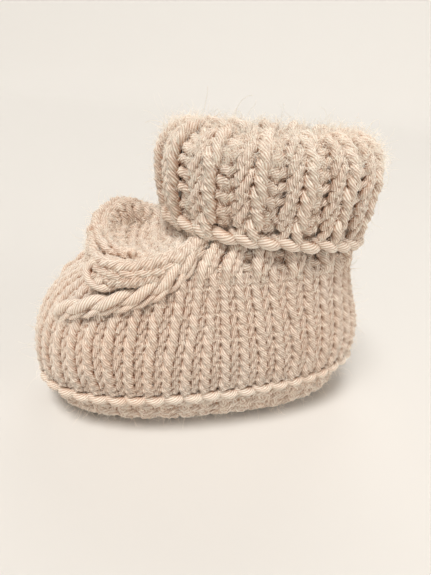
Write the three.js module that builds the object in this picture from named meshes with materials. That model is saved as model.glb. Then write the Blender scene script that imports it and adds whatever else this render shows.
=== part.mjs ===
// Hand-knitted baby bootie: rounded sole, stockinette foot, dished instep with
// a rolled welt round it, ribbed ankle and a ribbed cuff folded down over it.
// Millimetres, +Z up, +X towards the toe, +Y towards the wearer's one side.
import * as THREE from 'three';
import { mergeVertices } from 'three/addons/utils/BufferGeometryUtils.js';

// ---- driving dimensions ----------------------------------------------------
const GAP = 0.3;            // clearance between neighbouring pieces
const FABRIC = 4.2;         // thickness of one layer of stockinette
const RIB = 4.6;            // thickness of one layer of rib
const RING = 48;            // steps round the foot and the leg

// Plan outlines: toe and heel reach along X, half width along Y.
const FOOT = { toe: 46.8, heel: -43.0, half: 22.6, belly: 2 };
const LEG = { toe: 12.0, heel: -36.8, half: 19.5, belly: 0 };
const CUFF = { toe: 16.4, heel: -38.6, half: 21.8, belly: 0 };
const SQUARENESS = 2.4;     // exponent of the rounded outlines; 2 is an ellipse

const RIDGE = { mid: 11.3, slope: -0.045, radius: 2.3, inset: 1.6 };
const LEG_BASE = 44.1;      // where the wall ends and the rib begins
const LEG_TOP = 69.8;       // where the leg turns over into the cuff
const CUFF_TOP = 74.0;
// The chain at the cuff's lower edge, which is higher towards the toe.
const HEM = { mid: 50.1, slope: 0.085, height: 3.4, inset: 2.7 };
const BRAID_RADIUS = 1.7;

const wool = (shade) => new THREE.MeshStandardMaterial({
  color: new THREE.Color(0.78, 0.68, 0.55).multiplyScalar(shade),
  roughness: 0.95,
  metalness: 0,
});

// ---- helpers ---------------------------------------------------------------
const lerp = THREE.MathUtils.lerp;
const signedPower = (v, p) => Math.sign(v) * Math.abs(v) ** p;

// A point on a rounded plan outline, pulled in by inset, at height z.
function outline(plan, angle, inset, z) {
  const middle = (plan.toe + plan.heel) / 2 + plan.belly;
  const c = signedPower(Math.cos(angle), 2 / SQUARENESS);
  const s = signedPower(Math.sin(angle), 2 / SQUARENESS);
  const reach = c > 0 ? plan.toe - inset - middle : middle - plan.heel - inset;
  return new THREE.Vector3(middle + reach * c, (plan.half - inset) * s, z);
}

// A closed surface from a grid of points: row by row, each row a closed loop.
// With caps the first and last rows shrink to a point; otherwise the last row
// joins the first, as on a ring.
function gridSolid(rows, capped) {
  const count = rows[0].length;
  const vertices = rows.flat();
  const faces = [];
  const quad = (a, b) => {
    for (let i = 0; i < count; i += 1) {
      const j = (i + 1) % count;
      faces.push(a + i, a + j, b + j, a + i, b + j, b + i);
    }
  };
  const last = rows.length - 1;
  for (let r = 0; r < last; r += 1) quad(r * count, (r + 1) * count);
  if (capped) {
    const centre = (row) => row
      .reduce((sum, p) => sum.add(p), new THREE.Vector3())
      .divideScalar(count);
    const first = vertices.push(centre(rows[0])) - 1;
    const end = vertices.push(centre(rows[last])) - 1;
    for (let i = 0; i < count; i += 1) {
      const j = (i + 1) % count;
      faces.push(first, j, i);
      faces.push(end, last * count + i, last * count + j);
    }
  } else {
    quad(last * count, 0);
  }
  const geometry = new THREE.BufferGeometry().setFromPoints(vertices);
  geometry.setIndex(faces);
  const solid = mergeVertices(geometry);
  solid.computeVertexNormals();
  return solid;
}

// One loop of points round the foot or leg, for a place(angle) function.
const around = (place) => Array.from({ length: RING },
  (_, i) => place((2 * Math.PI * i) / RING));

// A ring whose section is a closed list of [inset, z(x, y)] corners.
function ringSolid(plan, section) {
  return gridSolid(section.map(([inset, height]) => around((angle) => {
    const p = outline(plan, angle, inset, 0);
    p.z = typeof height === 'function' ? height(p.x) : height;
    return p;
  })), false);
}

// A ring with a round section; middle(x) is the height of its centre line.
const RING_SIDES = 8;
function roundRing(plan, inset, radius, middle) {
  return ringSolid(plan, Array.from({ length: RING_SIDES }, (_, i) => {
    const a = (2 * Math.PI * i) / RING_SIDES;
    return [inset - radius * Math.cos(a), (x) => middle(x) + radius * Math.sin(a)];
  }));
}

// A rounded rod along a curve; size(u) gives its half width and half height.
function rod(curve, steps, sides, size) {
  const rows = [];
  for (let k = 0; k <= steps; k += 1) {
    const u = k / steps;
    const p = curve.getPoint(u);
    const along = curve.getTangent(u);
    const side = new THREE.Vector3(0, 0, 1).cross(along).normalize();
    const up = along.clone().cross(side);
    const [w, h] = size(u);
    rows.push(Array.from({ length: sides }, (_, i) => {
      const a = (2 * Math.PI * i) / sides;
      return p.clone().addScaledVector(side, w * Math.cos(a))
        .addScaledVector(up, h * Math.sin(a));
    }));
  }
  return gridSolid(rows, true);
}

// ---- sole and the ridge round it -------------------------------------------
const ridgeHeight = (x) => RIDGE.mid + RIDGE.slope * x;
const soleRim = (x) => ridgeHeight(x) - RIDGE.radius - GAP - 0.2;

// Underside from the flat the bootie stands on up to the rim, then the inside.
const soleRows = [
  [9.5, () => 0],
  [6.2, () => 0.9],
  [4.0, () => 2.7],
  [2.9, (x) => lerp(2.7, soleRim(x), 0.6)],
  [2.6, soleRim],
  [6.6, soleRim],
  [8.5, (x) => soleRim(x) - 2.2],
  [13, () => FABRIC],
].map(([inset, height]) => around((angle) => {
  const p = outline(FOOT, angle, inset, 0);
  p.z = height(p.x);
  return p;
}));
const sole = gridSolid(soleRows, true);

const ridge = roundRing(FOOT, RIDGE.inset, RIDGE.radius, ridgeHeight);

// ---- wall of the foot ------------------------------------------------------
// The wall rises from the ridge to a rim that runs round the instep opening,
// low beside it, and level round the ankle. One side is listed, toe to heel.
const RIM = [
  [34.8, 0, 38.6], [34.4, 6.5, 38.2], [33.4, 12.0, 36.2], [30.6, 16.6, 33.4],
  [24.0, 18.9, 35.2], [17.0, 19.5, 38.0], [11.0, 19.7, 41.8],
  [1.0, 19.7, 43.7], [-14.5, 19.4, 43.4], [-27.0, 16.2, 43.2],
  [-34.2, 9.4, 43.2], [-36.8, 0, 43.2],
];
const rimLoop = new THREE.CatmullRomCurve3([
  ...RIM,
  ...RIM.slice(1, -1).reverse().map(([x, y, z]) => [x, -y, z]),
].map((p) => new THREE.Vector3(...p)), true, 'centripetal');

// Spread the rim's control points over the same angles as the ridge below.
const rimAngles = RIM.map(([x, y], i) => {
  if (i === 0) return 0;
  if (i === RIM.length - 1) return Math.PI;
  const middle = (FOOT.toe + FOOT.heel) / 2 + FOOT.belly;
  return Math.atan2(y / FOOT.half, (x - middle) / (x > middle
    ? FOOT.toe - middle : middle - FOOT.heel));
});
function rimPoint(angle) {
  const turn = ((angle % (2 * Math.PI)) + 2 * Math.PI) % (2 * Math.PI);
  const half = turn > Math.PI ? 2 * Math.PI - turn : turn;
  let k = 0;
  while (k < rimAngles.length - 2 && half > rimAngles[k + 1]) k += 1;
  const f = (half - rimAngles[k]) / (rimAngles[k + 1] - rimAngles[k]);
  const u = (k + f) / (2 * (RIM.length - 1));
  return rimLoop.getPoint(turn > Math.PI ? 1 - u : u);
}

// How far the wall bows out above the ridge and below the rim, with the part
// added at the toe and heel, and the share of its height that each bend takes.
const SWELL = { low: 2.2, high: 1.6, toe: 9.88, heel: -1.2 };
const BEND = { side: 0.34, toe: 0.2 };
function wallPoint(angle, t) {
  const foot = outline(FOOT, angle, 0, 0);
  foot.z = ridgeHeight(foot.x) + RIDGE.radius + GAP + 0.1;
  const rim = rimPoint(angle);
  const front = Math.max(0, Math.cos(angle)) ** 2;
  const back = Math.max(0, -Math.cos(angle)) ** 2;
  const out = foot.clone().setZ(0).sub(new THREE.Vector3(2, 0, 0)).normalize();
  const rise = rim.z - foot.z;
  const low = foot.clone().addScaledVector(out, SWELL.low)
    .add(new THREE.Vector3(0, 0, rise * BEND.side));
  const bow = SWELL.high + SWELL.toe * front + SWELL.heel * back;
  const high = rim.clone().addScaledVector(out, bow)
    .add(new THREE.Vector3(0, 0, -rise * lerp(BEND.side, BEND.toe, front)));
  return new THREE.CubicBezierCurve3(foot, low, high, rim).getPoint(t);
}
function wallInner(angle, t) {
  const d = 1e-3;
  const t0 = THREE.MathUtils.clamp(t, d, 1 - d);
  const up = wallPoint(angle, t0 + d).sub(wallPoint(angle, t0 - d));
  const along = wallPoint(angle + d, t0).sub(wallPoint(angle - d, t0));
  return wallPoint(angle, t)
    .addScaledVector(along.cross(up).normalize(), -FABRIC);
}
const WALL_STEPS = [0, 0.14, 0.3, 0.46, 0.62, 0.78, 0.9, 1];
const wall = gridSolid([
  ...WALL_STEPS.map((t) => around((angle) => wallPoint(angle, t))),
  ...WALL_STEPS.toReversed().map((t) => around((angle) => wallInner(angle, t))),
], false);

// ---- instep: dished panel, rolled welt and the braids beside it -------------
const PANEL = { toe: 28.0, heel: 7.6, half: 11.2, belly: 0 };
const panelRows = [
  [-0.2, 36.6], [-1.6, 38.2], [-1.4, 38.9], [0.4, 39.6], [1.2, 41.0],
  [2.4, 41.4], [5.2, 40.9],
];
const panel = gridSolid(
  panelRows.map(([inset, z]) => around((angle) => outline(PANEL, angle, inset, z))),
  true,
);

// Centre line of the welt, from the ankle round the front and back again. The
// fabric stands higher on the far side, as it does on the worn-in bootie.
const WELT_HALF = { width: 3.4, near: 3.2, far: 5.4 };
const WELT = [
  [11.4, 15.6, 47.4], [16.0, 15.5, 44.8], [22.5, 15.2, 43.1],
  [28.0, 13.4, 42.9], [30.2, 8.6, 43.0], [30.3, 0.0, 43.4],
  [29.4, -8.6, 44.2], [26.6, -13.2, 45.4], [21.0, -15.2, 46.0],
  [15.5, -15.6, 46.4], [11.6, -15.6, 47.6],
];
const weltCurve = new THREE.CatmullRomCurve3(
  WELT.map((p) => new THREE.Vector3(...p)), false, 'centripetal');
const welt = rod(weltCurve, 30, 12, (u) => {
  const far = THREE.MathUtils.smoothstep(u, 0.45, 0.8);
  return [WELT_HALF.width, lerp(WELT_HALF.near, WELT_HALF.far, far)];
});

const braid = (side) => rod(new THREE.CatmullRomCurve3([
  [31.0, 15.3, 35.8], [24.0, 17.3, 37.4], [17.2, 17.9, 40.1],
].map(([x, y, z]) => new THREE.Vector3(x, side * y, z))),
12, 8, () => [BRAID_RADIUS, BRAID_RADIUS]);

// ---- ribbed leg, folded cuff and its cast-off edge --------------------------
const leg = ringSolid(LEG, [
  [0, LEG_BASE], [0.7, 45.4], [2.9, 46.6], [3.7, 49.6], [4.2, 53],
  [4.2, LEG_TOP], [8.8, LEG_TOP], [8.8, 53], [8.2, 49.6],
  [7.2, 46.6], [5.3, 45.4], [4.6, LEG_BASE],
]);

const hemBottom = (x) => HEM.mid + HEM.slope * x;
const cuffBottom = (x) => hemBottom(x) + HEM.height + GAP;
const cuff = ringSolid(CUFF, [
  [1.7, cuffBottom], [0.5, 60], [0, 66], [1.3, 70.6], [4.2, 73.3],
  [7.2, CUFF_TOP], [9.8, 73.2], [10.9, 71.4], [10.7, LEG_TOP + GAP],
  [5.5, LEG_TOP + GAP], [5.4, 66], [5.4, 60], [5.1, cuffBottom],
]);

const hemRing = roundRing(CUFF, HEM.inset, HEM.height / 2,
  (x) => hemBottom(x) + HEM.height / 2);

// ---- the bootie ------------------------------------------------------------
const bootie = new THREE.Group();
const pieces = {
  sole: [sole, 0.92],
  sole_ridge: [ridge, 0.98],
  foot_wall: [wall, 1.0],
  instep_panel: [panel, 0.9],
  instep_welt: [welt, 1.04],
  left_braid: [braid(1), 0.96],
  right_braid: [braid(-1), 0.96],
  ankle_rib: [leg, 0.94],
  turned_cuff: [cuff, 1.02],
  cast_off_edge: [hemRing, 0.97],
};
for (const [name, [geometry, shade]] of Object.entries(pieces)) {
  const mesh = new THREE.Mesh(geometry, wool(shade));
  mesh.name = name;
  bootie.add(mesh);
}

// Stand it on z = 0 with its bounding box centred on the origin.
const box = new THREE.Box3().setFromObject(bootie);
const centre = box.getCenter(new THREE.Vector3());
bootie.position.set(-centre.x, -centre.y, -box.min.z);

export default bootie;
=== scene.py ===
"""A hand-knitted baby bootie, built stitch by stitch from plied yarn.

Each section of the bootie is a Surface that follows its CAD solid. Courses of
yarn run round or across the surfaces as knit or purl loops, and every course is
a tube with twisted plies. Lengths are millimetres until the meshes are made.
"""
import math

import bpy
import numpy as np
from mathutils import Matrix, Vector


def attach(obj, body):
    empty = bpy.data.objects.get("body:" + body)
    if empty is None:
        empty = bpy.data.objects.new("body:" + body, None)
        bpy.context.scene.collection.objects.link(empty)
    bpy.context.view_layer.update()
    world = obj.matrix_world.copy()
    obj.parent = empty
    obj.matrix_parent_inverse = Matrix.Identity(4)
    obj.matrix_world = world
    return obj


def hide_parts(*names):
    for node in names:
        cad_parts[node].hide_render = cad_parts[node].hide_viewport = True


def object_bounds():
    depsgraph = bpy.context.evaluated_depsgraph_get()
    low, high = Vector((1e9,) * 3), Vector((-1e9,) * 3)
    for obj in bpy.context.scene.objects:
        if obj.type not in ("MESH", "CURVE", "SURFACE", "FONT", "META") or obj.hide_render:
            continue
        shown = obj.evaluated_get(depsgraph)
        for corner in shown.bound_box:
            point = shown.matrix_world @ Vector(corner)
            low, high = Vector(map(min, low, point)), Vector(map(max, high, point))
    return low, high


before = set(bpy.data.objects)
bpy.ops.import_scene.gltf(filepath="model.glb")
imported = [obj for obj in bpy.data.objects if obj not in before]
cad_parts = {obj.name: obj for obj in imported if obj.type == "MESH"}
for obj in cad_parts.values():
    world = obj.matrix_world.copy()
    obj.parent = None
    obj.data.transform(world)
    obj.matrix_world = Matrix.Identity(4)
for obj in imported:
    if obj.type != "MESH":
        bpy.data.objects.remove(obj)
cad_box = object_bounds()

MM = 0.001
TAU = 2 * math.pi

# ---- dimensions, as in the CAD solids --------------------------------------
# Plan outlines: reach of toe and heel along X, half width, shift of the middle.
FOOT = (46.8, -43.0, 22.6, 2.0)
LEG = (12.0, -36.8, 19.5, 0.0)
CUFF = (16.4, -38.6, 21.8, 0.0)
SQUARENESS = 2.4
RIDGE_MID, RIDGE_SLOPE, RIDGE_RADIUS, RIDGE_INSET = 11.3, -0.045, 2.3, 1.6
HEM_MID, HEM_SLOPE, HEM_HEIGHT = 50.1, 0.085, 3.4
RIM = np.array([
    [34.8, 0, 38.6], [34.4, 6.5, 38.2], [33.4, 12.0, 36.2], [30.6, 16.6, 33.4],
    [24.0, 18.9, 35.2], [17.0, 19.5, 38.0], [11.0, 19.7, 41.8],
    [1.0, 19.7, 43.7], [-14.5, 19.4, 43.4], [-27.0, 16.2, 43.2],
    [-34.2, 9.4, 43.2], [-36.8, 0, 43.2]])

# The solids are centred in their box, so the toe says how far they moved.
SHIFT_X = cad_box[1][0] / MM - (FOOT[0] - RIDGE_INSET + RIDGE_RADIUS)

# ---- yarn and gauge --------------------------------------------------------
YARN = 1.17                 # radius of the yarn
PLIES = 10
GROOVE = 0.11               # depth of the grooves between plies, of the radius
TWIST = TAU / 8.0           # radians per millimetre; positive leans like an S
ROW = 3.2                   # height of a row of stockinette
FOOT_COLUMNS = 48
RIB_COLUMNS = 30

ROOTS = 2.2                 # roots of loose fibres to a millimetre of yarn
TIP_PAINTED_LIGHT = 0.7             # painted light of the cut ends of a yarn; below 1 browns them as painted shade
SHEET_PLACE = -2.0          # keeps the sheets apart from the yarn in a bake
FLOOR_GAP = 0.02            # the lowest stitches rest this far off the floor
FIBRE_GAP = 0.06            # and the lowest fibres this far

rng = np.random.default_rng(417)


# ---- outlines and surfaces -------------------------------------------------
def signed_power(v, p):
    return np.sign(v) * np.abs(v) ** p


def outline(plan, angle, inset=0.0):
    """X and Y of a rounded outline, pulled in by inset."""
    toe, heel, half, belly = plan
    middle = (toe + heel) / 2 + belly
    c = signed_power(np.cos(angle), 2 / SQUARENESS)
    s = signed_power(np.sin(angle), 2 / SQUARENESS)
    reach = np.where(c > 0, toe - inset - middle, middle - heel - inset)
    return middle + reach * c, (half - inset) * s


def ridge_height(x):
    return RIDGE_MID + RIDGE_SLOPE * x


def hem_bottom(x):
    return HEM_MID + HEM_SLOPE * x


def stack(plan, section):
    """A profile(angle) from (inset, height) pairs, bottom row first."""
    def profile(angle):
        rows = []
        for inset, height in section:
            x, y = outline(plan, angle, inset)
            z = height(x) if callable(height) else np.full_like(x, height)
            rows.append(np.stack([x, y, z], -1))
        return smooth_rows(np.array(rows), 8)
    return profile


def catmull_rom(a, b, c, d, t):
    """A place from b (t = 0) to c (t = 1) on the curve through four points."""
    return 0.5 * (2 * b + (c - a) * t + (2 * a - 5 * b + 4 * c - d) * t ** 2
                  + (3 * b - a - 3 * c + d) * t ** 3)


def smooth_rows(rows, steps):
    """A curve through rows of points, steps to a span."""
    padded = np.concatenate([2 * rows[:1] - rows[1:2], rows,
                             2 * rows[-1:] - rows[-2:-1]])
    out = [catmull_rom(*padded[k:k + 4], t) for k in range(len(rows) - 1)
           for t in np.arange(steps) / steps]
    return np.array(out + [rows[-1]])


def unit(v):
    return v / np.maximum(np.linalg.norm(v, axis=-1, keepdims=True), 1e-9)


class Surface:
    """A band of fabric. u goes along a row, from 0 to 1; s is the distance in
    millimetres that the knitting has climbed. The face side is u x s."""

    def __init__(self, rows, closed, depth, step=0.5, even=False):
        """rows is (profile points, columns, 3), in the order it was knitted.
        With even, all columns count s by their mean length."""
        span = np.linalg.norm(np.diff(rows, axis=0), axis=-1)
        if even:
            span = np.broadcast_to(span.mean(1, keepdims=True), span.shape)
        along = np.concatenate([np.zeros((1, rows.shape[1])),
                                np.cumsum(span, 0)])
        self.length = along[-1]
        self.step, self.closed = step, closed
        ticks = np.arange(0, self.length.max() + 2 * step, step)
        grid = np.empty((len(ticks), rows.shape[1], 3))
        for j in range(rows.shape[1]):
            run = along[:, j]
            for k in range(3):
                grid[:, j, k] = np.interp(ticks, run, rows[:, j, k])
            beyond = ticks > run[-1]
            ahead = unit(rows[-1, j] - rows[-3, j])
            grid[beyond, j] = rows[-1, j] + (ticks[beyond, None] - run[-1]) \
                * ahead
        across = (np.roll(grid, -1, 1) - np.roll(grid, 1, 1)) if closed \
            else np.gradient(grid, axis=1)
        self.normal = unit(np.cross(across, np.gradient(grid, axis=0)))
        self.grid = grid + self.normal * depth

    def _cell(self, u, s):
        count = self.grid.shape[1]
        if self.closed:
            x = np.mod(u, 1.0) * count
            i = np.floor(x).astype(int) % count
            j = (i + 1) % count
        else:
            x = np.clip(u, 0, 1) * (count - 1)
            i = np.clip(np.floor(x).astype(int), 0, count - 2)
            j = i + 1
        y = np.clip(s / self.step, 0, self.grid.shape[0] - 1.001)
        k = np.floor(y).astype(int)
        return i, j, k, (x - np.floor(x))[..., None], (y - k)[..., None]

    def _mix(self, grid, cell):
        i, j, k, f, g = cell
        return (grid[k, i] * (1 - f) + grid[k, j] * f) * (1 - g) \
            + (grid[k + 1, i] * (1 - f) + grid[k + 1, j] * f) * g

    def at(self, u, s):
        cell = self._cell(np.asarray(u, float), np.asarray(s, float))
        return self._mix(self.grid, cell), unit(self._mix(self.normal, cell))

    def reach(self, u):
        """How far the fabric climbs at u."""
        count = len(self.length)
        places = np.arange(count + 1) / count if self.closed \
            else np.linspace(0, 1, count)
        values = np.append(self.length, self.length[0]) if self.closed \
            else self.length
        return np.interp(np.mod(u, 1.0) if self.closed else u, places, values)


def even_angles(profile, row, columns, backwards):
    """Angles that cut one row of a profile into equal lengths."""
    fine = np.linspace(0, TAU, 1441)
    ring = profile(fine)[row]
    run = np.concatenate([[0], np.cumsum(
        np.linalg.norm(np.diff(ring, axis=0), axis=-1))])
    angles = np.interp(np.arange(columns) / columns * run[-1], run, fine)
    return -angles if backwards else angles


def band(profile, row, depth, backwards=False, columns=240):
    angles = even_angles(profile, row, columns, backwards)
    return Surface(profile(angles), True, depth)


# ---- meshes ----------------------------------------------------------------
def new_mesh(name, points, quads, triangles):
    """A smooth mesh, moved from the bootie's millimetres into the frame."""
    points = points + [SHIFT_X, 0, 0]
    points[:, 2] = np.maximum(points[:, 2], FLOOR_GAP)
    points *= MM
    mesh = bpy.data.meshes.new(name)
    corners = np.concatenate([quads.ravel(), triangles.ravel()])
    starts = np.concatenate([np.arange(len(quads)) * 4, len(quads) * 4
                             + np.arange(len(triangles)) * 3])
    mesh.vertices.add(len(points))
    mesh.vertices.foreach_set("co", points.ravel())
    mesh.loops.add(len(corners))
    mesh.loops.foreach_set("vertex_index", corners)
    mesh.polygons.add(len(starts))
    mesh.polygons.foreach_set("loop_start", starts)
    mesh.update(calc_edges=True)
    mesh.polygons.foreach_set("use_smooth", np.ones(len(starts), bool))
    return mesh


def add_piece(name, mesh, material):
    mesh.materials.append(material)
    piece = bpy.data.objects.new(name, mesh)
    bpy.context.scene.collection.objects.link(piece)
    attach(piece, "root")
    return piece


def bake_layer(mesh, places):
    """The UV layer that a bake of the materials goes into."""
    layer = mesh.uv_layers.new(name="OFBake")
    layer.data.foreach_set("uv", places.ravel())


# ---- yarn ------------------------------------------------------------------
class Knit:
    """Collects the tubes of one piece and makes its mesh."""

    def __init__(self, name):
        self.name = name
        self.points, self.quads, self.triangles = [], [], []
        self.grooves, self.shade = [], []
        self.quad_places, self.triangle_places = [], []
        self.roots = []                 # where loose fibres grow, and which way
        self.run = 0.0                  # length of yarn so far
        self.count = self.sheets = 0    # points and sheets so far

    def tube(self, path, normal, radius, plies=PLIES):
        """A plied yarn along path; radius is one number or one per point."""
        along = unit(np.gradient(path, axis=0))
        side = unit(np.cross(along, normal))
        up = np.cross(side, along)
        run = np.concatenate([[0], np.cumsum(
            np.linalg.norm(np.diff(path, axis=0), axis=-1))])
        corners = 2 * plies
        around = np.arange(corners) / corners * TAU
        turn = around[None] + TWIST * run[:, None] + rng.uniform(0, TAU)
        ply = 1 + GROOVE * np.where(np.arange(corners) % 2, -1.0, 0.5)
        size = np.broadcast_to(radius, len(path))[:, None] * ply[None]
        ring = path[:, None] + size[..., None] * (
            np.cos(turn)[..., None] * side[:, None]
            + np.sin(turn)[..., None] * up[:, None])
        ends = np.stack([path[0] - along[0] * 0.2, path[-1] + along[-1] * 0.2])
        self.points.append(np.concatenate([ring.reshape(-1, 3), ends]))
        self._tube_faces(len(path), corners)
        self._tube_places(run, corners)
        self._tube_shade(turn)
        self._tube_roots(path, ring, turn, run[-1])
        self.run += run[-1] + 1.0
        self.count += ring.shape[0] * corners + len(ends)

    def _tube_faces(self, rings, corners):
        base, k = self.count, np.arange(corners)
        m = (k + 1) % corners
        rows = (np.arange(rings - 1) * corners)[:, None] + base
        self.quads.append(np.stack([rows + k, rows + corners + k,
                                    rows + corners + m, rows + m], -1)
                          .reshape(-1, 4))
        tip = base + rings * corners
        last = base + (rings - 1) * corners
        self.triangles.append(np.stack(
            [np.full(corners, tip), base + k, base + m], -1))
        self.triangles.append(np.stack(
            [np.full(corners, tip + 1), last + m, last + k], -1))

    def _tube_places(self, run, corners):
        """Where each face lies on the unrolled yarn, for its bake."""
        here, k = self.run + run, np.arange(corners)
        x = np.stack([here[:-1], here[1:], here[1:], here[:-1]], -1)
        y = np.stack([k, k, k + 1, k + 1], -1) / corners
        self.quad_places.append(np.stack(np.broadcast_arrays(
            x[:, None], y[None]), -1).reshape(-1, 4, 2))
        for spot, tip, a, b in ((here[0], 0.3, k, k + 1),
                                (here[-1], -0.3, k + 1, k)):
            x = np.broadcast_to([spot + tip, spot, spot], (corners, 3))
            y = np.stack([k + 0.5, a, b], -1) / corners
            self.triangle_places.append(np.stack([x, y], -1))

    def _tube_shade(self, turn):
        """Painted shade: the colour darkens between the plies and down the sides of the
        yarn, where light fades.
        """
        high = np.sin(turn)
        crown = np.clip(np.where(high > -0.45, 0.5 + 0.8 * high,
                                 -0.65 - 1.5 * high), 0, 1) ** 0.8
        groove = np.arange(turn.shape[1]) % 2
        # Painted shade: grooves keep 0.35 of the light, and the crown fades down the
        # sides.
        light = crown * np.where(groove, 0.35, 1.0)
        self.shade.append(np.append(light.ravel(), [TIP_PAINTED_LIGHT, TIP_PAINTED_LIGHT]))
        self.grooves.append(np.append(np.tile(groove, len(turn)), [0, 0]))

    def _tube_roots(self, path, ring, turn, length):
        picks = rng.poisson(length * ROOTS)
        i = rng.integers(0, len(path), picks)
        j = rng.integers(0, turn.shape[1], picks)
        outer = np.sin(turn[i, j]) > 0.1
        i, j = i[outer], j[outer]
        self.roots.append(np.stack([ring[i, j], unit(ring[i, j] - path[i])],
                                   1))

    def shell(self, surface, low, high, depth, thickness=0.4, columns=120,
              steps=14):
        """A thin closed sheet behind the yarn, which fills the gaps. It
        climbs from low to high(u). Its front, seen in the gaps, gets more
        painted shade than its back."""
        u = (np.arange(columns) / columns if surface.closed
             else np.linspace(0, 1, columns))
        s = np.stack([low + (high(u) - low) * f
                      for f in np.linspace(0, 1, steps)])
        p, n = surface.at(np.broadcast_to(u, s.shape), s)
        front, back = p - n * depth, p - n * (depth + thickness)
        rows = np.concatenate([front, back[::-1]])
        self.points.append(rows.reshape(-1, 3))
        self.grooves.append(np.zeros(len(rows) * columns))
        # Painted shade: 0.5 on the front of the sheet and 0.75 on its back.
        self.shade.append(np.repeat([0.5, 0.75], steps * columns))
        self._shell_faces(len(rows), columns, surface.closed)
        if not surface.closed:
            self._shell_sides(len(rows), columns)
        self.count += len(rows) * columns
        self.sheets += 1

    def _shell_faces(self, total, columns, closed):
        """Front and back, joined along their upper and lower edges."""
        k = np.arange(columns if closed else columns - 1)
        m = (k + 1) % columns
        for r in range(total):
            a = self.count + r * columns
            b = self.count + (r + 1) % total * columns
            self.quads.append(np.stack([a + k, a + m, b + m, b + k], -1))
            x = np.stack([k, k + 1, k + 1, k], -1) / columns
            y = (r + np.array([0, 0, 1, 1])) / (total + 1)
            self.quad_places.append(np.stack([
                x + SHEET_PLACE, np.broadcast_to(self.sheets + y, x.shape)],
                -1))

    def _shell_sides(self, total, columns):
        """The two narrow sides of a sheet that doesn't close on itself."""
        end = columns - 1
        for r in range(total // 2 - 1):
            a, b, c, d = (self.count + row * columns for row in
                          (r, r + 1, total - 1 - r, total - 2 - r))
            self.quads.append(np.array([[a, b, d, c], [c + end, d + end,
                                                       b + end, a + end]]))
            y = (np.array([r, r + 1, r + 1, r]) + 0.5) / (total + 1)
            self.quad_places.append(np.broadcast_to(np.stack([
                np.array([0, 0, 1, 1]) * 0.01 + SHEET_PLACE, self.sheets + y],
                -1), (2, 4, 2)))

    def unroll(self, mesh):
        """UVs for the bake: the yarn in long strips, the sheets beside them."""
        groups = [np.concatenate(g) for g in (self.quad_places,
                                              self.triangle_places) if g]
        x, y = np.concatenate([g.reshape(-1, 2) for g in groups]).T
        starts = np.concatenate([g[..., 0].min(1).repeat(g.shape[1])
                                 for g in groups])
        strips = max(1, round(math.sqrt(max(self.run, 1.0) / 8.0)))
        length = self.run / strips + 0.01
        share = 0.16 if self.sheets else 0.0
        strip = np.floor(np.maximum(starts, 0) / length)
        yarn_x = (x - strip * length) / (length + 2.0)
        yarn_y = share + (1 - share) * (strip + 0.05 + 0.9 * y) / (strips + 1)
        yarn = x > -0.9
        places = np.stack([
            np.where(yarn, yarn_x, x - SHEET_PLACE),
            np.where(yarn, yarn_y, share * y / max(1, self.sheets))], -1)
        bake_layer(mesh, np.clip(places, 0.001, 0.999))

    def build(self, material, slot, *nodes):
        """Makes the piece, which stands in for the CAD nodes."""
        triangles = np.concatenate(self.triangles) if self.triangles else \
            np.empty((0, 3), int)
        mesh = new_mesh(self.name, np.concatenate(self.points),
                        np.concatenate(self.quads), triangles)
        # The edges along the grooves are sharp, so each ply catches the light.
        groove = np.concatenate(self.grooves).astype(bool)
        edges = np.empty(len(mesh.edges) * 2, np.int32)
        mesh.edges.foreach_get("vertices", edges)
        sharp = groove[edges[::2]] & groove[edges[1::2]]
        mesh.attributes.new("sharp_edge", "BOOLEAN", "EDGE").data.foreach_set(
            "value", sharp)
        self.unroll(mesh)
        # Painted shade for the wool's colour, from the yarn's plies and sides and the
        # sheets' faces.
        mesh.attributes.new("light", "FLOAT", "POINT").data.foreach_set(
            "value", np.concatenate(self.shade).astype(np.float32))
        piece = add_piece(self.name, mesh, material)
        if nodes:
            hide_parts(*nodes)


def fibres(name, roots, ways, lengths, curl=0.30, radius=0.03, steps=5):
    """Loose curly fibres as thin closed tubes, three-sided."""
    count = len(roots)
    step = (lengths / steps)[:, None]
    way = unit(ways + rng.normal(0, 0.55, ways.shape))
    axis = unit(rng.normal(0, 1, ways.shape))
    bend = rng.normal(0, curl, (count, 1)) * lengths[:, None] ** 0.5
    path = [roots - 0.15 * ways]
    for _ in range(steps):
        path.append(path[-1] + way * step)
        way = unit(way + bend * np.cross(axis, way)
                   + rng.normal(0, 0.16, way.shape))
    path = np.stack(path, 1)
    path[..., 2] = np.maximum(path[..., 2], FIBRE_GAP)
    along = unit(np.gradient(path, axis=1))
    side = unit(np.cross(along, axis[:, None]))
    up = np.cross(along, side)
    size = radius * np.linspace(1.0, 0.55, steps + 1)[None, :, None, None] \
        * rng.uniform(0.7, 1.3, (count, 1, 1, 1))
    turn = (np.arange(3) / 3 * TAU)[None, None, :, None]
    ring = path[:, :, None] + size * (np.cos(turn) * side[:, :, None]
                                      + np.sin(turn) * up[:, :, None])
    points = ring.reshape(-1, 3)
    base = (np.arange(count) * (steps + 1) * 3)[:, None, None]
    r, k = np.arange(steps)[None, :, None] * 3, np.arange(3)[None, None]
    m = (k + 1) % 3
    quads = np.stack([base + r + k, base + r + m, base + r + 3 + m,
                      base + r + 3 + k], -1).reshape(-1, 4)
    first = base[:, 0]
    ends = np.concatenate([first + [0, 2, 1], first + steps * 3 + [0, 1, 2]])
    mesh = new_mesh(name, points, quads, ends)
    bake_layer(mesh, fibre_places(count, steps))
    add_piece(name, mesh, fuzz_wool)


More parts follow.
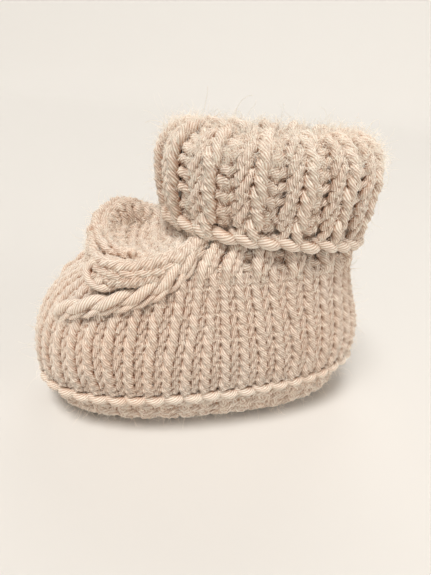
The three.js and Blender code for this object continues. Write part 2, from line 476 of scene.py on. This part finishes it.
def fibre_places(count, steps):
    """Each fibre's own square of the bake, its sides and then its two ends."""
    cells = math.ceil(math.sqrt(count))
    number = np.arange(count)
    corner = np.stack([number % cells, number // cells], -1)[:, None]
    sides = np.stack(np.broadcast_arrays(
        (np.arange(steps)[:, None, None] + [0, 0, 1, 1]) / steps,
        (np.arange(3)[None, :, None] + [0, 1, 1, 0]) / 3), -1).reshape(-1, 2)
    root = np.array([[0, 0], [0, 0.6], [0, 0.3]])
    tip = np.array([[0.9, 0], [0.9, 0.3], [0.9, 0.6]])
    return np.concatenate([((corner + 0.1 + 0.8 * block) / cells)
                           .reshape(-1, 2) for block in (sides, root, tip)])


# Shape of a stitch: half height in rows, sideways swing and lean in columns,
# depth of the loop and sinking of its second leg in millimetres, how far knit
# loops open sideways and purl loops close in columns, steps to a stitch.
STITCH = dict(tall=1.12, swing=0.262, lean=0.085, deep=0.6, sink=0.32,
              open=0.0, steps=16)
LINK_STEPS = 14


def course(knit, surface, columns, row, base, first=0, last=None, face=None,
           height=ROW, radius=YARN, proud=0.0, wobble=1.0, plies=PLIES,
           start=0.0, width=1.0, **shape):
    """One row of loops, from column first to last. face(i) is 1 for a knit
    stitch and -1 for a purl; row counts up from the distance base."""
    form = {**STITCH, **shape}
    last = columns if last is None else last
    steps, stitches = form["steps"], last - first
    t = np.linspace(0, TAU * stitches, steps * stitches + 1) - math.pi
    centre = first + 0.5 + np.arange(-1, stitches + 1)
    x = first + 0.5 + t / TAU
    jitter = rng.normal(0, wobble, (4, len(centre)))
    if surface.closed and stitches == columns:
        jitter[:, 0], jitter[:, -1] = jitter[:, -2], jitter[:, 1]
    slip, lift, fat, out = (np.interp(x, centre, j) for j in jitter)
    side = np.array([1.0 if face is None else face(int(c) % columns)
                     for c in np.floor(centre)])
    edges = np.stack([centre - 0.4, centre + 0.4], 1).ravel()
    knitted = np.interp(x, edges, np.repeat(side, 2))
    second = np.sin(t)          # 1 on the loop's second leg, -1 on its first
    u = (x + form["swing"] * np.sin(2 * t) + form["lean"] * np.cos(t)
         + form["open"] * knitted * second + 0.03 * slip) / columns
    s = base + height * (row + 0.5 + form["tall"] * (1 + 0.03 * lift)
                         * np.cos(t)) + 0.06 * lift
    z = form["deep"] * knitted * -np.cos(2 * t) + proud * knitted \
        - form["sink"] * second * knitted + 0.07 * out
    size = radius * (1 + 0.03 * fat - 0.05 * second * knitted)
    point, normal = surface.at(start + u * width, s)
    knit.tube(point + normal * z[:, None], normal, size, plies)


def rib(column):
    """Knit one, purl one."""
    return -1.0 if column % 2 else 1.0


def other_rib(column):
    return -rib(column)


def purl(column):
    return -1.0


def link(knit, surface, u0, s0, u1, s1, bulge, radius, bend=0.0):
    """A plump strand from one place on a surface to another: its ends dive
    in and its middle stands out."""
    t = np.linspace(0, 1, LINK_STEPS)
    hump = np.sin(math.pi * t)
    u = u0 + (u1 - u0) * t
    s = s0 + (s1 - s0) * t + bend * hump
    point, normal = surface.at(u, s)
    size = radius * (0.55 + 0.45 * hump ** 0.6)
    knit.tube(point + normal * (bulge * (hump - 0.45))[:, None], normal, size)


# ---- wool ------------------------------------------------------------------
STRAND_GAP = 1.6 * MM       # strands closer than this get painted shade from each other


def wool(name, painted_light_scale=1.0, fuzz=False):
    """Undyed wool: soft sheen, cloudy colour, and painted shade that browns it where light
    fades.
    """
    material = bpy.data.materials.new(name)
    material.use_nodes = True
    nodes, links = material.node_tree.nodes, material.node_tree.links
    shader = nodes["Principled BSDF"]
    shader.inputs["Roughness"].default_value = 0.92
    shader.inputs["Specular IOR Level"].default_value = 0.12
    shader.inputs["Sheen Weight"].default_value = 0.22
    shader.inputs["Sheen Roughness"].default_value = 0.5
    shader.inputs["Sheen Tint"].default_value = (1.0, 0.88, 0.74, 1)
    place = nodes.new("ShaderNodeTexCoord")

    def noise(scale, detail):
        node = nodes.new("ShaderNodeTexNoise")
        node.inputs["Scale"].default_value = scale
        node.inputs["Detail"].default_value = detail
        links.new(place.outputs["Object"], node.inputs["Vector"])
        return node.outputs["Fac"]

    def mix(factor, low, high, blend="MIX"):
        node = nodes.new("ShaderNodeMix")
        node.data_type, node.blend_type = "RGBA", blend
        node.clamp_factor = True
        for value, socket in ((factor, node.inputs[0]), (low, node.inputs[6]),
                              (high, node.inputs[7])):
            if isinstance(value, bpy.types.NodeSocket):
                links.new(value, socket)
            elif isinstance(value, tuple):
                socket.default_value = (*value, 1.0)
            else:
                socket.default_value = value
        return node.outputs[2]

    def spread(value, low, high):
        node = nodes.new("ShaderNodeMapRange")
        node.inputs["From Min"].default_value = low
        node.inputs["From Max"].default_value = high
        links.new(value, node.inputs["Value"])
        return node.outputs["Result"]

    # The scale lightens or darkens the whole colour, as painted light or shade.
    pale = tuple(painted_light_scale * c for c in (0.95, 0.88, 0.79))
    warm = tuple(painted_light_scale * c for c in (0.92, 0.80, 0.685))
    cloud = spread(noise(70, 3), 0.35, 0.65)
    colour = mix(cloud, warm, pale)
    fleck = spread(noise(900, 2), 0.45, 0.75)
    colour = mix(fleck, colour, tuple(min(1.0, 1.08 * c) for c in pale))
    if not fuzz:
        # Painted shade: down between the plies and on the sides of the yarn the colour is
        # made darker and browner.
        light = nodes.new("ShaderNodeAttribute")
        light.attribute_name = "light"
        colour = mix(light.outputs["Fac"],
                     mix(1.0, colour, (0.36, 0.165, 0.07), "MULTIPLY"), colour)
        # Painted shade: an occlusion term browns the colour where strands crowd together,
        # for light that has been through wool to get between them.
        occlusion_shade = nodes.new("ShaderNodeAmbientOcclusion")
        occlusion_shade.samples, occlusion_shade.only_local = 6, True
        occlusion_shade.inputs["Distance"].default_value = STRAND_GAP
        colour = mix(spread(occlusion_shade.outputs["AO"], 0.05, 0.55),
                     mix(1.0, colour, (0.72, 0.44, 0.28), "MULTIPLY"), colour)
    links.new(colour, shader.inputs["Base Color"])
    if fuzz:
        # Painted light: a faint glow stands in for light that passes through a single
        # fibre, so the fibres are never dark.
        shader.inputs["Emission Color"].default_value = (1.0, 0.90, 0.80, 1)
        shader.inputs["Emission Strength"].default_value = 0.07
    else:
        bump = nodes.new("ShaderNodeBump")
        bump.inputs["Strength"].default_value = 0.35
        bump.inputs["Distance"].default_value = 0.1 * MM
        links.new(noise(6500, 2), bump.inputs["Height"])
        links.new(bump.outputs["Normal"], shader.inputs["Normal"])
    return material


# One undyed wool throughout; the copies differ only in painted light: the instep, edges,
# cuff and loose fibres are painted a little lighter, and the lining darker as painted
# shade.
foot_wool = wool("wool_foot")
instep_wool = wool("wool_instep", 1.02)
rib_wool = wool("wool_rib", 1.05)
edge_wool = wool("wool_edge", 1.04)
core_wool = wool("wool_core", 0.8)
fuzz_wool = wool("wool_fuzz", 1.05, fuzz=True)


# ---- the foot --------------------------------------------------------------
def rim_points(angle):
    """The wall's upper edge at each angle, from the CAD's control points."""
    middle = (FOOT[0] + FOOT[1]) / 2 + FOOT[3]
    x, y = RIM[:, 0], RIM[:, 1]
    reach = np.where(x > middle, FOOT[0] - middle, middle - FOOT[1])
    knots = np.arctan2(y / FOOT[2], (x - middle) / reach)
    # The wales stand upright along the side, so they crowd round the toe.
    knots += np.radians(np.interp(x, [10, 17, 24, 31, 34.2, 34.8],
                                  [0, 2.5, 3.5, 4, 2.5, 0]))
    knots[0], knots[-1] = 0, math.pi
    turn = np.mod(angle, TAU)
    half = np.where(turn > math.pi, TAU - turn, turn)
    loop = np.concatenate([RIM, RIM[1:-1][::-1] * [1, -1, 1]])
    place = np.interp(half, knots, np.arange(len(RIM)))
    place = np.where(turn > math.pi, len(loop) - place, place) % len(loop)
    k = np.floor(place).astype(int)
    t = (place - k)[..., None]
    return catmull_rom(*(loop[(k + j) % len(loop)] for j in (-1, 0, 1, 2)), t)


def wall_profile(angle):
    """The wall's outer face from the ridge up to the rim, as Bezier curves."""
    x, y = outline(FOOT, angle)
    foot = np.stack([x, y, ridge_height(x) + RIDGE_RADIUS + 0.4], -1)
    rim = rim_points(angle)
    front = np.maximum(0, np.cos(angle)) ** 2
    back = np.maximum(0, -np.cos(angle)) ** 2
    out = unit(foot * [1, 1, 0] - [2, 0, 0])
    rise = rim[..., 2] - foot[..., 2]
    up = np.array([0, 0, 1.0])
    low = foot + out * 2.2 + up * (rise * 0.34)[..., None]
    bow = 1.6 + 9.88 * front - 1.2 * back
    high = rim + out * bow[..., None] \
        - up * (rise * (0.34 - 0.14 * front))[..., None]
    t = np.linspace(0, 1, 40)[:, None, None]
    return foot * (1 - t) ** 3 + low * 3 * t * (1 - t) ** 2 \
        + high * 3 * t ** 2 * (1 - t) + rim * t ** 3


def runs(keep):
    """First and last + 1 of each run of columns to knit in a closed row, cut
    where the row closes, at the toe."""
    shift, cut = int(np.argmin(keep)), len(keep)
    turned = np.roll(keep, -shift)
    edges = shift + np.flatnonzero(np.diff(np.concatenate([[0], turned, [0]])))
    out = []
    for a, b in zip(edges[::2], edges[1::2]):
        out += [(a, cut), (cut, b)] if a < cut < b else [(a, b)]
    return out


def leg_rows(angle):
    """From the wall's rim up and in, to where the ankle goes into the cuff."""
    rim = rim_points(angle)
    toe, heel, half_width, _ = LEG
    centre = np.array([(toe + heel) / 2, 0])
    spoke = rim[..., :2] - centre
    long = np.linalg.norm(spoke, axis=-1, keepdims=True)
    shape = np.abs(spoke / [(toe - heel) / 2, half_width]) ** SQUARENESS
    excess = np.maximum(0, 1 - shape.sum(-1, keepdims=True)
                        ** (-1 / SQUARENESS)) * long
    rows = []
    for height, inset, narrow in ((1.8, 0.2, 0.05), (3.6, 1.3, 0.15),
                                  (5.6, 2.6, 0.35), (8.4, 3.9, 0.75),
                                  (12.0, 4.6, 1.0)):
        pull = inset * (1 - 0.5 * np.minimum(1, excess / 7)) + narrow * excess
        rows.append(np.concatenate([centre + spoke * (1 - pull / long),
                                    rim[..., 2:] + height], -1))
    return np.array(rows)


SKIN = -(YARN + 0.5)        # from the CAD's face to the middle of the fabric
FOOT_BASE = -0.5 * ROW      # the first row starts down in the ridge
FOOT_YARN = 1.08
GIRTH_ROW = 12              # the row of the profile that columns divide evenly
FINE = 241
wall = band(wall_profile, GIRTH_ROW, SKIN)

# The leg goes on from all the wall's columns but those round the toe.
leg_start = 10
leg_end = FOOT_COLUMNS - leg_start
angles = np.interp(np.linspace(leg_start, leg_end, 181) / FOOT_COLUMNS,
                   np.arange(FINE) / FINE,
                   even_angles(wall_profile, GIRTH_ROW, FINE, False))
lower = wall_profile(angles)
upper = smooth_rows(np.concatenate([lower[-1:], leg_rows(angles)]), 6)[1:]
leg = Surface(np.concatenate([lower, upper]), False, SKIN)
on_leg = dict(start=-leg_start / (leg_end - leg_start),
              width=FOOT_COLUMNS / (leg_end - leg_start))

reach = wall.reach((np.arange(FOOT_COLUMNS) + 0.5) / FOOT_COLUMNS)
heel_column = FOOT_COLUMNS // 2
rib_row = round((reach[leg_start:leg_end].mean() - FOOT_BASE) / ROW)
ANKLE_ROWS = 4
near, far = Knit("foot_wall_near"), Knit("foot_wall_far")
ankle = Knit("ankle_rib")
for row in range(rib_row + ANKLE_ROWS):
    keep = reach > (row - 0.15) * ROW
    keep[leg_start:leg_end] = False
    for a, b in runs(keep):
        knit = near if (a // heel_column) % 2 == 0 else far
        course(knit, wall, FOOT_COLUMNS, row, FOOT_BASE, a, b,
               radius=FOOT_YARN)
    if row < rib_row:
        for knit, a, b in ((near, leg_start, heel_column),
                           (far, heel_column, leg_end)):
            course(knit, leg, FOOT_COLUMNS, row, FOOT_BASE, a, b,
                   radius=FOOT_YARN, **on_leg)
    else:
        course(ankle, leg, FOOT_COLUMNS, row, FOOT_BASE, leg_start, leg_end,
               face=rib, proud=0.85, open=0.06, radius=1.15, **on_leg)

# Where the wales end, short rows turn in under the braid and the welt.
core = Knit("foot_lining")
for side, knit, top in ((1, near, 4.6), (-1, far, 8.0)):
    edge = rim_points(side * np.radians(np.linspace(4, 96, 40)))
    web_rows = smooth_rows(np.array([
        edge * [1, 0.94, 1] + [-1.0, 0, -2.6],
        edge * [0.985, 0.94, 1] + [-0.6, 0, 0.6],
        edge * [0.95, 0.84, 1] + [0.2, 0, top]]), 6)
    web = Surface(web_rows[:, ::side], False, -0.9, even=True)
    for row in range(int(web.length.mean() // ROW)):
        course(knit, web, 10, row, 0.0, radius=1.05, wobble=1.4, face=purl)
    core.shell(web, 0.0, web.reach, 1.0, columns=40)
near.build(foot_wool, "wool_foot", "foot_wall")
far.build(foot_wool, "wool_foot")
core.shell(wall, -0.5, lambda u: wall.reach(u) - 1.0, 1.0)
core.shell(leg, 22.0, lambda u: leg.reach(u) - 1.0, 1.2, columns=90)
core.build(core_wool, "wool_foot")
ankle.build(rib_wool, "wool_rib", "ankle_rib")


# ---- the sole and its ridge ------------------------------------------------
def sole_rim(x):
    return ridge_height(x) - RIDGE_RADIUS - 0.5


# Rows of purl go round the sole and close in, with fewer stitches each time.
SOLE_ROW, SOLE_COLUMN, SOLE_LEAST = 3.0, 4.9, 16
sole_radius = ((FOOT[0] - FOOT[1]) / 2 + FOOT[2]) / 2
sole_face = band(stack(FOOT, [
    (2.2, lambda x: sole_rim(x) + 0.8),
    (2.9, lambda x: 0.4 * 2.7 + 0.6 * sole_rim(x)),
    (4.0, 2.7), (6.2, 0.9), (9.5, 0.0), (15.0, 0.0), (21.8, 0.0)]), 0,
    -YARN - 0.35, backwards=True)
sole = Knit("sole")
for row in range(8):
    inset = SOLE_ROW * max(1, row)
    columns = max(SOLE_LEAST,
                  round(TAU * (sole_radius - inset) / SOLE_COLUMN))
    course(sole, sole_face, columns, row, -0.5, face=purl, height=SOLE_ROW,
           deep=0.5, wobble=1.4, steps=14, plies=6)
sole.shell(sole_face, 0.0, lambda u: np.full_like(u, 25.0), 0.4, 0.7)
sole.build(foot_wool, "wool_foot", "sole")

ridge_face = band(stack(FOOT, [
    (0.9, lambda x: ridge_height(x) - 2.4),
    (0.1, lambda x: ridge_height(x) + 0.8),
    (0.5, lambda x: ridge_height(x) + 4.0)]), 8, -YARN)
ridge = Knit("sole_ridge")
for i in range(FOOT_COLUMNS):
    lift, slip = rng.normal(0, 0.15, 2)
    link(ridge, ridge_face, (i - 0.14) / FOOT_COLUMNS, 3.9 + lift,
         (i + 1.14) / FOOT_COLUMNS, 3.1 + slip, 1.5, YARN, bend=-0.2)
ridge.shell(ridge_face, 0.0, ridge_face.reach, 1.1, steps=8)
ridge.build(edge_wool, "wool_edge", "sole_ridge")


# ---- the instep ------------------------------------------------------------
def curve(points, steps):
    return smooth_rows(np.array(points, float), steps)


# The dish: ribbing comes down the front of the ankle and turns to purl.
across = np.linspace(1, -1, 41)
dish_rows = []
for inset, height, turn in ((4.8, 58.0, 48), (3.6, 54.5, 46), (1.6, 51.0, 43),
                            (-0.6, 48.0, 41)):
    x, y = outline(LEG, np.radians(turn) * across, inset)
    dish_rows.append(np.stack([x, y, np.full_like(x, height)], -1))
for x, half_width, height, sides in ((16.0, 14.4, 45.4, 1.6),
                                     (19.5, 14.0, 43.8, 1.6),
                                     (23.0, 13.2, 43.2, 2.0),
                                     (27.0, 12.4, 45.2, 1.0),
                                     (30.5, 11.5, 46.4, 0.2)):
    dish_rows.append(np.stack([
        x - 2.0 * across ** 2, half_width * across,
        height + sides * across ** 2], -1))
dish_face = Surface(smooth_rows(np.array(dish_rows), 6), False, 0.0, even=True)
panel = Knit("instep_panel")
DISH_COLUMNS = 6
for row in range(int(dish_face.length.mean() // ROW)):
    course(panel, dish_face, DISH_COLUMNS, row, 0.0,
           face=other_rib if row < ANKLE_ROWS else purl, wobble=1.5,
           radius=1.1)
panel.shell(dish_face, 0.0, lambda u: dish_face.reach(u) - 0.5, 1.0,
            columns=40, steps=20)
panel.build(instep_wool, "wool_instep", "instep_panel")

# The welt: the fabric rolls over into a thick edge round the dish.
WELT = [(5.6, 11.2, 53.6), (9.2, 13.8, 48.8), (13.2, 15.6, 46.0),
        (17.5, 16.0, 44.4), (22.5, 15.6, 42.9), (27.2, 14.2, 42.6),
        (29.9, 9.8, 42.8), (30.5, 3.5, 43.4), (30.2, -3.5, 43.9),
        (29.0, -10.2, 45.0), (25.0, -14.2, 47.2), (20.0, -15.4, 46.4),
        (15.0, -15.8, 44.8), (10.2, -15.8, 43.6)]
WELT_COLUMNS, WELT_ROW = 3, 3.1
spine = curve(WELT, 8)
heading = unit(np.gradient(spine, axis=0) * [1, 1, 0])
outward = np.stack([-heading[:, 1], heading[:, 0], 0 * heading[:, 0]], -1)
# The roll starts thin at the ankle and grows fatter past the front corner.
part = np.linspace(0, 1, len(spine))
taper = np.clip(0.55 + part / 0.22 * 0.45, 0, 1)
past = np.clip((part - 0.54) / 0.14, 0, 1)
fatter = past ** 2 * (3 - 2 * past)
wide = (3.1 + 0.7 * fatter) * taper
tall = (3.0 + 1.9 * fatter) * taper
turn = np.radians(np.linspace(-55, 215, 41))
roll = spine[:, None] \
    + (wide[:, None] * np.cos(turn))[..., None] * outward[:, None] \
    + (tall[:, None] * np.sin(turn))[..., None] * np.array([0, 0, 1.0])
welt_face = Surface(roll, False, -YARN + 0.1, even=True)
welt = Knit("instep_welt")
for row in range(int(welt_face.length.mean() // WELT_ROW)):
    course(welt, welt_face, WELT_COLUMNS, row, 0.0, height=WELT_ROW,
           wobble=2.0, radius=1.25, swing=0.24,
           face=lambda i: -1.0 if i == 2 else 1.0)
welt.shell(welt_face, 0.0, lambda u: welt_face.reach(u) - 0.2, 0.9,
           columns=30, steps=50)
# The near corner curls on itself in one loose loop.
corner = curve([(26.4, 15.4, 40.0), (29.8, 15.9, 39.6), (32.6, 13.6, 40.2),
                (33.2, 12.0, 42.4), (31.6, 12.4, 44.2), (29.8, 13.6, 43.6),
                (29.6, 15.0, 41.8), (31.2, 15.4, 40.6)], 8)
welt.tube(corner, np.broadcast_to([0.5, 0.8, 0.3], corner.shape), 1.0)
welt.build(instep_wool, "wool_instep", "instep_welt")

# A braid runs from the toe to the ankle along each side, above thin strands
# where the wales of the wall end.
BRAID = [(42.6, 6.6, 29.2), (39.4, 11.2, 32.2), (35.0, 14.8, 34.7),
         (29.5, 17.0, 36.6), (23.5, 18.3, 38.4), (17.5, 18.6, 41.4),
         (12.6, 17.4, 45.4), (9.4, 14.4, 48.8)]


def braid(name, side):
    knit = Knit(name)
    for drop, size, away, pitch in ((0.0, 1.12, 0.85, 14.0),
                                    (1.9, 0.6, 0.5, 8.0)):
        middle = curve(BRAID, 16) * [1, side, 1]
        ahead = unit(np.gradient(middle, axis=0))
        out = unit(np.array([0.25, 0.8 * side, 0.55]) + 0 * middle)
        down = unit(np.cross(ahead, out)) * side
        run = np.concatenate([[0], np.cumsum(np.linalg.norm(
            np.diff(middle, axis=0), axis=-1))])
        for phase in (0, math.pi):
            turn = phase - side * TAU * run / pitch
            bob = 0.12 * np.interp(run, np.arange(0, 60, 4.0),
                                   rng.normal(0, 1, 15))
            path = middle + down * drop - out * (0.3 * drop) \
                + out * (away * np.cos(turn) + bob)[:, None] \
                + down * (away * np.sin(turn))[:, None]
            # At the toe the strands thin out and dive into the wall.
            dive = np.clip(1 - run / 7.0, 0, 1)[:, None] ** 2
            knit.tube(path - out * (3.2 * dive), out,
                      size * (1 - 0.5 * dive[:, 0]) * (1 + 0.14 * np.cos(turn)))
    knit.build(instep_wool, "wool_instep", name)
    return knit


braids = [braid("left_braid", 1), braid("right_braid", -1)]

# ---- cuff and hem ----------------------------------------------------------
# The rib climbs inside the leg, turns over at the top and comes down outside.
CUFF_ROW, INSIDE_ROWS = 3.25, 8
CUFF_GIRTH_ROW = 72
cuff_face = band(stack(CUFF, [
    (9.6, 42.0), (10.8, 50.0), (11.0, 58.0), (11.0, 66.0), (10.9, 70.8),
    (9.9, 73.0), (7.2, 74.0), (4.2, 73.3), (1.3, 70.6), (0.1, 66.0),
    (0.4, 60.0), (1.6, lambda x: hem_bottom(x) + HEM_HEIGHT - 0.4)]),
    CUFF_GIRTH_ROW, SKIN, backwards=True)
inside = Knit("leg_lining")
cuff_near, cuff_far = Knit("turned_cuff_near"), Knit("turned_cuff_far")
cuff_half = RIB_COLUMNS // 2
cuff_rows = int(cuff_face.length.min() // CUFF_ROW)
cuff_base = cuff_face.length.min() - cuff_rows * CUFF_ROW + 1.8
for row in range(INSIDE_ROWS):
    course(inside, cuff_face, RIB_COLUMNS, row, cuff_base, face=rib,
           height=CUFF_ROW, proud=0.3, plies=5, steps=12)
for row in range(INSIDE_ROWS, cuff_rows):
    base, form = cuff_base, dict(open=0.07)
    if row == cuff_rows - 1:
        # The last row is drawn down into the hem.
        base, form = cuff_base + 0.5, dict(open=0.0, tall=0.95)
    for knit, a, b in ((cuff_far, 0, cuff_half),
                       (cuff_near, cuff_half, RIB_COLUMNS)):
        course(knit, cuff_face, RIB_COLUMNS, row, base, a, b, face=rib,
               height=CUFF_ROW, proud=0.9, wobble=2.3, radius=1.2, **form)
inside.shell(cuff_face, 3.0, lambda u: cuff_face.reach(u) + 2.0, 1.0, steps=40)
inside.build(rib_wool, "wool_rib")
cuff_near.build(rib_wool, "wool_rib", "turned_cuff")
cuff_far.build(rib_wool, "wool_rib")

hem_face = band(stack(CUFF, [
    (1.8, lambda x: hem_bottom(x) + HEM_HEIGHT + 1.0),
    (1.7, lambda x: hem_bottom(x) + HEM_HEIGHT / 2),
    (3.4, lambda x: hem_bottom(x) - 0.8)]), 8, -YARN + 0.1, backwards=True)
hem = Knit("cast_off_edge")
for i in range(RIB_COLUMNS):
    lift, slip, push = rng.normal(0, 0.38, 3)
    link(hem, hem_face, (i - 0.3 + 0.2 * push) / RIB_COLUMNS, 3.8 + lift,
         (i + 1.3) / RIB_COLUMNS, 1.2 + slip, 1.9, YARN * (1.15 + 0.12 * push))
hem.build(edge_wool, "wool_edge", "cast_off_edge")


# ---- loose fibres ----------------------------------------------------------
FIBRES = 5800               # the most fibres to a piece


def grow(name, knits, share, middle, spread):
    """Fibres from a share of the roots, of about the middle length."""
    roots = np.concatenate([r for knit in knits for r in knit.roots])
    roots = roots[rng.random(len(roots)) < share]
    lengths = np.clip(rng.lognormal(math.log(middle), spread, len(roots)),
                      0.8, 7.0)
    pieces = math.ceil(len(roots) / FIBRES)
    for k in range(pieces):
        fibres(f"{name}_{k + 1}", roots[k::pieces, 0], roots[k::pieces, 1],
               lengths[k::pieces])


grow("foot_fuzz", (near, far, sole, ridge), 0.8, 2.3, 0.45)
grow("instep_fuzz", (panel, welt, *braids), 0.9, 2.2, 0.5)
grow("instep_nap", (panel, welt, *braids), 1.0, 1.5, 0.4)
grow("cuff_fuzz", (ankle, cuff_near, cuff_far, hem), 0.6, 2.5,
     0.5)

# The turn of the cuff is the fuzziest, with a few long stray fibres.
CREST_HEIGHT, CREST_FIBRES, STRAY_FIBRES = 68.0, 5600, 110
crest = np.concatenate([r for knit in (cuff_near, cuff_far)
                        for r in knit.roots])
crest = crest[crest[:, 0, 2] > CREST_HEIGHT]
for k in range(2):
    nap = crest[rng.choice(len(crest), CREST_FIBRES)]
    nap[:, 0] += rng.normal(0, 0.5, nap[:, 0].shape)
    fibres(f"crest_fuzz_{k + 1}", nap[:, 0], nap[:, 1],
           rng.lognormal(math.log(2.4), 0.4, len(nap)), curl=0.5)
stray = crest[rng.choice(len(crest), STRAY_FIBRES, replace=False)]
fibres("stray_fibres", stray[:, 0], stray[:, 1],
       rng.uniform(5.0, 10.0, STRAY_FIBRES), curl=0.16,
       radius=0.05, steps=14)


# ---- floor, light and camera -----------------------------------------------
# A wide floor that sweeps up into a pale slope all round, in metres.
FLOOR_FLAT, SWEEP, SLOPE_END, SIDES = 1.6, 0.8, (12.0, 7.3), 72
floor_profile = [(0.001, 0.0), (0.5, 0.0), (FLOOR_FLAT, 0.0)] + [
    (FLOOR_FLAT + SWEEP * math.sin(a), SWEEP - SWEEP * math.cos(a))
    for a in np.linspace(0.05, 0.2 * math.pi, 8)] + [SLOPE_END]
ring_faces = [(j, (j + 1) % SIDES, SIDES + (j + 1) % SIDES, SIDES + j)
              for j in range(SIDES)]
floor_mesh = bpy.data.meshes.new("floor")
floor_mesh.from_pydata(
    [(r * math.cos(t), r * math.sin(t), z) for r, z in floor_profile
     for t in np.arange(SIDES) / SIDES * TAU], [],
    [tuple(SIDES * i + corner for corner in face)
     for i in range(len(floor_profile) - 1) for face in ring_faces])
floor_mesh.polygons.foreach_set("use_smooth", [True] * len(floor_mesh.polygons))
ground = bpy.data.materials.new("pale_floor")
ground.use_nodes = True
matt = ground.node_tree.nodes["Principled BSDF"].inputs
matt["Base Color"].default_value = (0.71, 0.69, 0.66, 1)
matt["Roughness"].default_value = 0.8
floor_mesh.materials.append(ground)
floor = bpy.data.objects.new("floor", floor_mesh)
bpy.context.scene.collection.objects.link(floor)

world = bpy.data.worlds.new("studio")
bpy.context.scene.world = world
world.use_nodes = True
glow = world.node_tree.nodes["Background"].inputs
glow["Color"].default_value = (1.0, 0.88, 0.74, 1)
glow["Strength"].default_value = 0.14
bpy.context.scene.view_settings.view_transform = "Standard"


def add_lamp(data, place, aim, energy, colour):
    data.energy, data.color = energy, colour
    lamp = bpy.data.objects.new(data.name, data)
    lamp.location = place
    lamp.rotation_euler = Vector(aim).to_track_quat("-Z", "Y").to_euler()
    bpy.context.scene.collection.objects.link(lamp)


for name, energy, width, source in (("key", 2.74, 22, (0.15, 0.17, 0.55)),
                                    ("rear", 0.35, 30, (-0.2, -0.5, 0.62))):
    sun = bpy.data.lights.new(name, "SUN")
    sun.angle = math.radians(width)
    add_lamp(sun, (0, 0, 0), -Vector(source), energy, (1.0, 0.98, 0.95))
fill = bpy.data.lights.new("fill", "AREA")
fill.shape, fill.size = "DISK", 0.4
fill_place = Vector((-0.40, 0.40, 0.30))
add_lamp(fill, fill_place, Vector((0, 0, 0.04)) - fill_place, 0.75,
         (1.0, 0.97, 0.93))

# The camera looks at the target from a distance in metres, tilted a little.
TARGET = Vector((-0.16 + SHIFT_X, 0.0, 31.44)) * MM
DISTANCE, AZIMUTH, ELEVATION, ROLL = 0.1204, 15.03, 24.8, 5.17
LENS = 27.05
az, el = math.radians(AZIMUTH), math.radians(ELEVATION)
eye = TARGET + DISTANCE * Vector((math.sin(az) * math.cos(el),
                                  math.cos(az) * math.cos(el), math.sin(el)))
view = (TARGET - eye).normalized()
right = view.cross(Vector((0, 0, 1))).normalized()
above = right.cross(view)
tilt = math.radians(ROLL)
right, above = (right * math.cos(tilt) + above * math.sin(tilt),
                above * math.cos(tilt) - right * math.sin(tilt))
camera = bpy.data.objects.new("camera", bpy.data.cameras.new("camera"))
camera.data.sensor_width = 36.0
camera.data.lens = LENS
camera.data.clip_start = 0.005
camera.matrix_world = Matrix((
    (right.x, above.x, -view.x, eye.x), (right.y, above.y, -view.y, eye.y),
    (right.z, above.z, -view.z, eye.z), (0, 0, 0, 1)))
bpy.context.scene.collection.objects.link(camera)
bpy.context.scene.camera = camera
